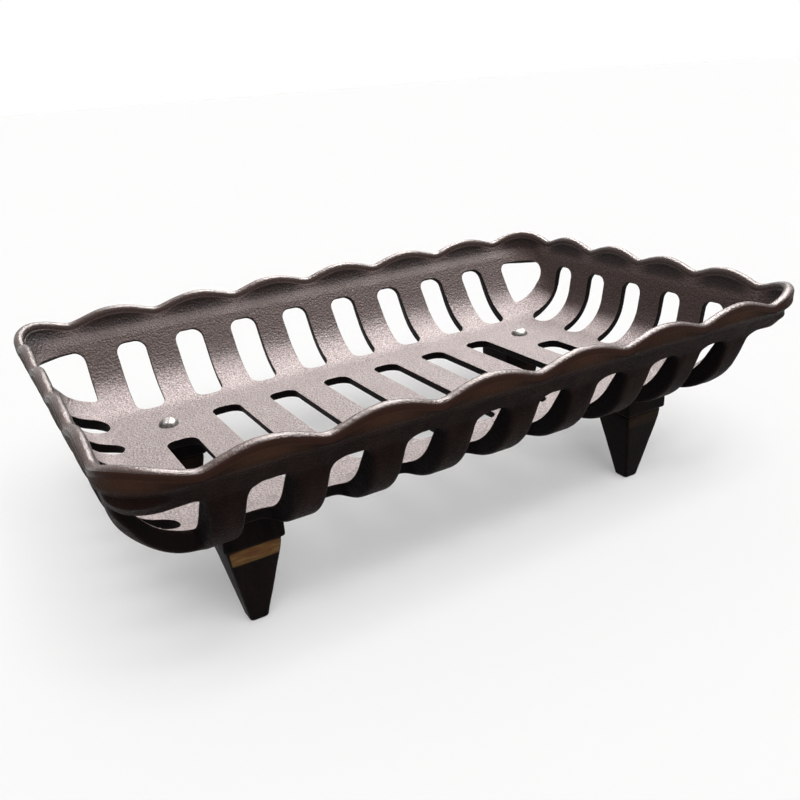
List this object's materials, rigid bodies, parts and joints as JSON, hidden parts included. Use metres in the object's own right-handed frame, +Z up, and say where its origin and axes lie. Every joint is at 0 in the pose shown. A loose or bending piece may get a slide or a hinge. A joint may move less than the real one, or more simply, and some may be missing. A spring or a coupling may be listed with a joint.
{
  "type": "log grate",
  "caption": "Cast-iron log grate: a rectangular slotted basket with curved walls and a scalloped beaded rim, standing on short tapered screwed-on legs.",
  "frame": {"origin": "on the ground, under the middle of the basket", "axes": "+Z up, +X along the basket's length to the right, front along -Y"},
  "size_m": [0.6096, 0.4056, 0.1961],
  "materials": {
    "basket_iron": "pebbly as-cast iron with a dark brown-grey satin coat",
    "leg_iron": "smoother dark cast iron",
    "screw_steel": "bright zinc-plated steel"
  },
  "bodies": {
    "root": {"basket": "basket_iron", "leg_front_left": "leg_iron", "leg_front_right": "leg_iron", "leg_back_left": "leg_iron", "leg_back_right": "leg_iron", "screw_front_left": "screw_steel", "screw_front_right": "screw_steel", "screw_back_left": "screw_steel", "screw_back_right": "screw_steel"}
  },
  "joints": []
}
